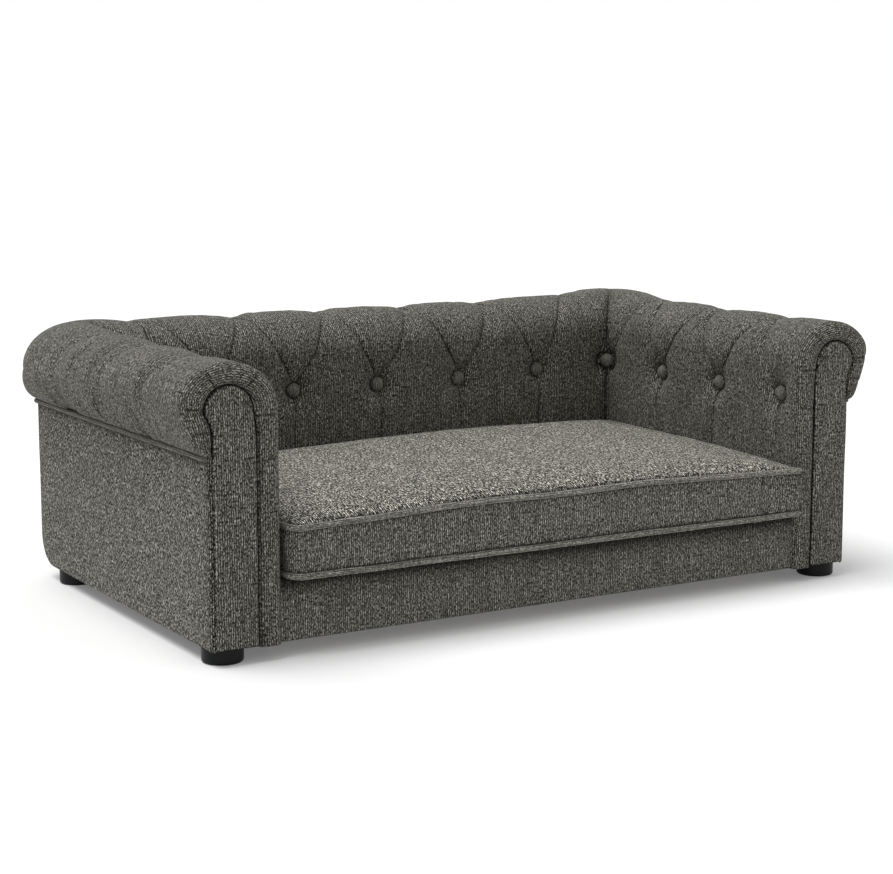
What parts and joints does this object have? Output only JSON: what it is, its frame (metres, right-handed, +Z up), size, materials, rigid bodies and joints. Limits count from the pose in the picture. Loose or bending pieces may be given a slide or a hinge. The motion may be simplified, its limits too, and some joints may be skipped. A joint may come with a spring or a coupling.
{
  "type": "dog sofa bed",
  "caption": "Small upholstered pet sofa with button-tufted rolled arms and back round a piped, lift-off seat cushion, on low round feet.",
  "frame": {"origin": "on the floor, at the middle of the sofa's footprint", "axes": "+X to the sitter's left along the back (the picture's right), +Y from the open front to the back, +Z up"},
  "size_m": [0.908, 0.537, 0.312],
  "materials": {
    "cover_fabric": "heathered chenille with fine upright flecks",
    "panel_fabric": "heathered chenille with fine upright flecks",
    "facing_fabric": "heathered chenille with fine upright flecks",
    "welt_fabric": "the same chenille, folded over a cord",
    "button_fabric": "the same chenille, drawn over a metal shell",
    "cushion_fabric": "heathered chenille, a shade lighter",
    "piping_fabric": "the same chenille, sewn round a cord",
    "deck_fabric": "plain black lining",
    "dust_fabric": "black non-woven cloth",
    "foam": "open-cell upholstery foam",
    "plywood": "raw plywood",
    "softwood": "raw planed softwood",
    "foot_plastic": "satin black",
    "steel": "zinc-plated",
    "twine": "waxed twine",
    "zip_tape": "woven black tape",
    "zip_nylon": "black nylon coil",
    "zip_metal": "nickel-plated"
  },
  "bodies": {
    "sofa": {"arm_cover_left": "cover_fabric", "arm_cover_right": "cover_fabric", "back_cover": "cover_fabric", "side_panel_left": "panel_fabric", "side_panel_right": "panel_fabric", "back_panel": "panel_fabric", "front_rail_cover": "panel_fabric", "facing_left": "facing_fabric", "facing_right": "facing_fabric", "side_welt_left": "welt_fabric", "side_welt_right": "welt_fabric", "back_welt": "welt_fabric", "back_buttons": "button_fabric", "corner_buttons": "button_fabric", "arm_buttons_left": "button_fabric", "arm_buttons_right": "button_fabric", "deck_cloth": "deck_fabric", "dust_cover": "dust_fabric", "arm_foam_left": "foam", "arm_foam_right": "foam", "back_foam": "foam", "front_rail_pad": "foam", "front_post_left": "plywood", "front_post_right": "plywood", "side_board_left": "plywood", "side_board_right": "plywood", "arm_inner_board_left": "plywood", "arm_inner_board_right": "plywood", "back_inner_board": "plywood", "back_board": "plywood", "seat_board": "plywood", "bottom_board_left": "softwood", "bottom_board_right": "softwood", "front_rail": "softwood", "deck_rail": "softwood", "rear_rail": "softwood", "deck_slats": "softwood", "arm_top_rail_left": "softwood", "arm_top_rail_right": "softwood", "arm_studs": "softwood", "back_top_rail": "softwood", "back_uprights": "softwood", "foot_front_left": "foot_plastic", "foot_front_right": "foot_plastic", "foot_rear_left": "foot_plastic", "foot_rear_right": "foot_plastic", "foot_screws": "steel", "twine_washers": "steel", "button_twines": "twine"},
    "seat_cushion": {"cushion_foam": "foam", "cushion_top": "cushion_fabric", "cushion_boxing": "cushion_fabric", "cushion_bottom": "cushion_fabric", "cushion_piping_top": "piping_fabric", "cushion_piping_bottom": "piping_fabric", "zip_tape": "zip_tape", "zip_chain": "zip_nylon"},
    "zip_slider": {"zip_slider": "zip_metal", "zip_pull": "zip_metal"}
  },
  "joints": [
    {"name": "cushion_lift", "type": "slide", "parent": "sofa", "child": "seat_cushion", "axis": [0, 0, 1], "range_m": [0, 0.25]},
    {"name": "zip_run", "type": "slide", "parent": "seat_cushion", "child": "zip_slider", "axis": [1, 0, 0], "range_m": [0, 0.436]}
  ]
}
